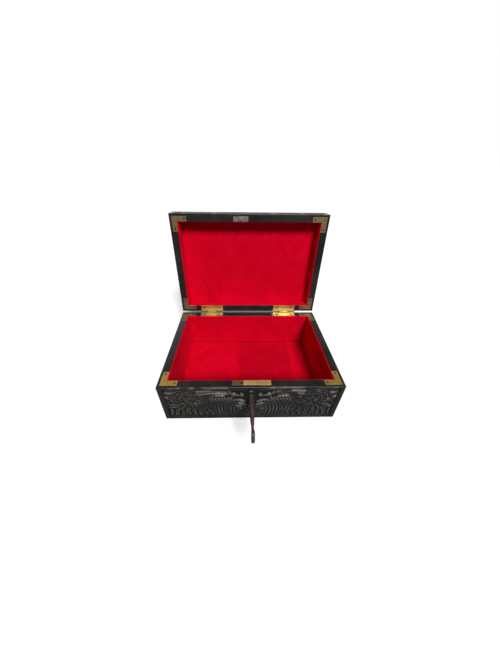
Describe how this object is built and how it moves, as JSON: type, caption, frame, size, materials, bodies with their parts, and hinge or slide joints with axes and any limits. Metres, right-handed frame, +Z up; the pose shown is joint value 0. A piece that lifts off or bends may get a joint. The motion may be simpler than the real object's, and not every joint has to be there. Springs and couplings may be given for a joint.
{
  "type": "jewelry box",
  "caption": "Carved ebonised wooden jewelry box with a hinged lid that stops open, red velvet lining, inlaid brass corners, box lock and key.",
  "frame": {"origin": "centre of the base's underside", "axes": "+X to the right of someone facing the lock, +Y to the back where the hinges are, +Z up; the lid is stored open against its stop"},
  "size_m": [0.3, 0.3305, 0.295],
  "materials": {
    "ebonised_wood": "carved and polished black, satin",
    "red_velvet": "short cut pile, matte with a soft sheen",
    "aged_brass": "satin, with a brown patina",
    "lock_brass": "cast and filed, dull",
    "worn_nickel": "worn plating, pitted",
    "lock_steel": "bright drawn wire, slightly dull",
    "rusty_iron": "brown with old rust, rubbed brighter on its edges"
  },
  "bodies": {
    "base": {"base_back_board": "ebonised_wood", "base_back_lining": "red_velvet", "base_bottom_board": "ebonised_wood", "base_bracket_back_left": "aged_brass", "base_bracket_back_right": "aged_brass", "base_bracket_front_left": "aged_brass", "base_bracket_front_right": "aged_brass", "base_bracket_screws": "aged_brass", "base_floor_lining": "red_velvet", "base_front_board": "ebonised_wood", "base_front_lining": "red_velvet", "base_hinge_screws": "aged_brass", "base_left_board": "ebonised_wood", "base_left_lining": "red_velvet", "base_right_board": "ebonised_wood", "base_right_lining": "red_velvet", "escutcheon": "aged_brass", "escutcheon_pins": "aged_brass", "hinge_left_base_leaf": "aged_brass", "hinge_left_pin": "lock_steel", "hinge_right_base_leaf": "aged_brass", "hinge_right_pin": "lock_steel", "lock_back_plate": "lock_brass", "lock_bolt_guide": "lock_brass", "lock_case": "lock_brass", "lock_drill_pin": "lock_steel", "lock_screws": "lock_brass", "lock_selvedge": "aged_brass"},
    "lid": {"hinge_left_lid_leaf": "aged_brass", "hinge_right_lid_leaf": "aged_brass", "lid_back_board": "ebonised_wood", "lid_back_lining": "red_velvet", "lid_bracket_back_left": "aged_brass", "lid_bracket_back_right": "aged_brass", "lid_bracket_front_left": "aged_brass", "lid_bracket_front_right": "aged_brass", "lid_bracket_screws": "aged_brass", "lid_front_board": "ebonised_wood", "lid_front_lining": "red_velvet", "lid_hinge_screws": "aged_brass", "lid_left_board": "ebonised_wood", "lid_left_lining": "red_velvet", "lid_right_board": "ebonised_wood", "lid_right_lining": "red_velvet", "lid_top_board": "ebonised_wood", "lid_top_lining": "red_velvet", "link_plate": "worn_nickel", "link_plate_screws": "worn_nickel"},
    "bolt": {"lock_bolt": "lock_brass", "lock_bolt_spring": "lock_steel"},
    "barrel": {"lock_barrel": "lock_brass"},
    "key": {"key": "rusty_iron"}
  },
  "joints": [
    {"name": "lid_hinge", "type": "hinge", "parent": "base", "child": "lid", "pos_m": [0, 0.1047, 0.08865], "axis": [1, 0, 0], "range_deg": [0, 95]},
    {"name": "key_turn", "type": "hinge", "parent": "base", "child": "barrel", "pos_m": [-0.0005, -0.0935, 0.068], "axis": [0, -1, 0], "range_deg": [0, 360]},
    {"name": "key_draw", "type": "slide", "parent": "barrel", "child": "key", "axis": [0, -1, 0], "range_m": [0, 0.03]},
    {"name": "bolt_slide", "type": "slide", "parent": "base", "child": "bolt", "axis": [-1, 0, 0], "range_m": [0, 0.006]}
  ],
  "couplings": [
    {"joint": "bolt_slide", "follows": "key_turn", "m_per_rad": 0.000954}
  ]
}
